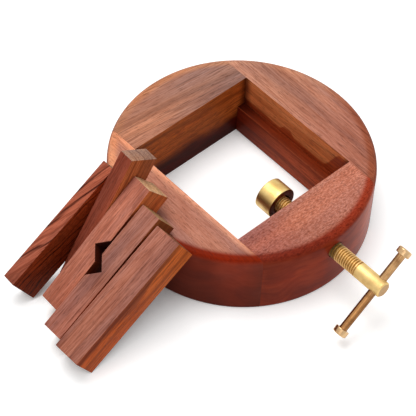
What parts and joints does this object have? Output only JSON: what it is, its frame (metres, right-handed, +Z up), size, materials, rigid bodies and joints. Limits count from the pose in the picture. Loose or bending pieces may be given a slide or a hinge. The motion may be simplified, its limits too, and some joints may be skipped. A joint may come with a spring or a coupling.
{
  "type": "seal carving vise",
  "caption": "Round hardwood seal carving vise: glued ring with a square opening, brass clamp screw with swivel pad and sliding cross bar, and loose packing blocks leaning on the rim.",
  "frame": {"origin": "centre of the square opening on the plane that the ring stands on", "axes": "+Z up, the clamp screw along Y with its handle towards -Y and the fixed jaw towards +Y"},
  "size_m": [0.1869, 0.1556, 0.0671],
  "materials": {
    "ring_wood": "satin lacquered red hardwood",
    "ledge_wood": "satin dark red hardwood",
    "block_wood": "sanded and oiled red hardwood",
    "dowel_wood": "plain beech",
    "brass": "turned and polished",
    "bar_brass": "drawn, slightly coppery"
  },
  "bodies": {
    "frame": {"cheek_right": "ring_wood", "cheek_left": "ring_wood", "rear_block": "ring_wood", "screw_block": "ring_wood", "ledge_right": "ledge_wood", "ledge_left": "ledge_wood", "joint_dowels": "dowel_wood", "threaded_bush": "brass"},
    "pad": {"swivel_pad": "brass"},
    "screw": {"clamp_screw": "brass", "pad_screw": "brass"},
    "handle": {"tommy_bar": "bar_brass", "bar_cap_upper": "bar_brass", "bar_cap_lower": "bar_brass"},
    "thin_outer": {"thin_block_outer": "block_wood"},
    "thin_inner": {"thin_block_inner": "block_wood"},
    "vee_left": {"vee_block_left": "block_wood"},
    "vee_right": {"vee_block_right": "block_wood"},
    "wide": {"wide_block": "block_wood"}
  },
  "joints": [
    {"name": "pad_advance", "type": "slide", "parent": "frame", "child": "pad", "axis": [0, 1, 0], "range_m": [-0.00625, 0.01375]},
    {"name": "screw_turn", "type": "hinge", "parent": "pad", "child": "screw", "pos_m": [0, -0.0625, 0.0235], "axis": [0, 1, 0], "range_deg": [-1805, 3965]},
    {"name": "bar_slide", "type": "slide", "parent": "screw", "child": "handle", "axis": [0.8028, 0, 0.5962], "range_m": [-0.013, 0.0204]},
    {"name": "thin_outer_lift", "type": "slide", "parent": "frame", "child": "thin_outer", "axis": [0, 0, 1], "range_m": [0, 0.08]},
    {"name": "thin_inner_lift", "type": "slide", "parent": "frame", "child": "thin_inner", "axis": [0, 0, 1], "range_m": [0, 0.08]},
    {"name": "vee_left_lift", "type": "slide", "parent": "frame", "child": "vee_left", "axis": [0, 0, 1], "range_m": [0, 0.08]},
    {"name": "vee_right_lift", "type": "slide", "parent": "frame", "child": "vee_right", "axis": [0, 0, 1], "range_m": [0, 0.08]},
    {"name": "wide_lift", "type": "slide", "parent": "frame", "child": "wide", "axis": [0, 0, 1], "range_m": [0, 0.08]}
  ],
  "couplings": [
    {"joint": "screw_turn", "follows": "pad_advance", "rad_per_m": 5026.5}
  ]
}
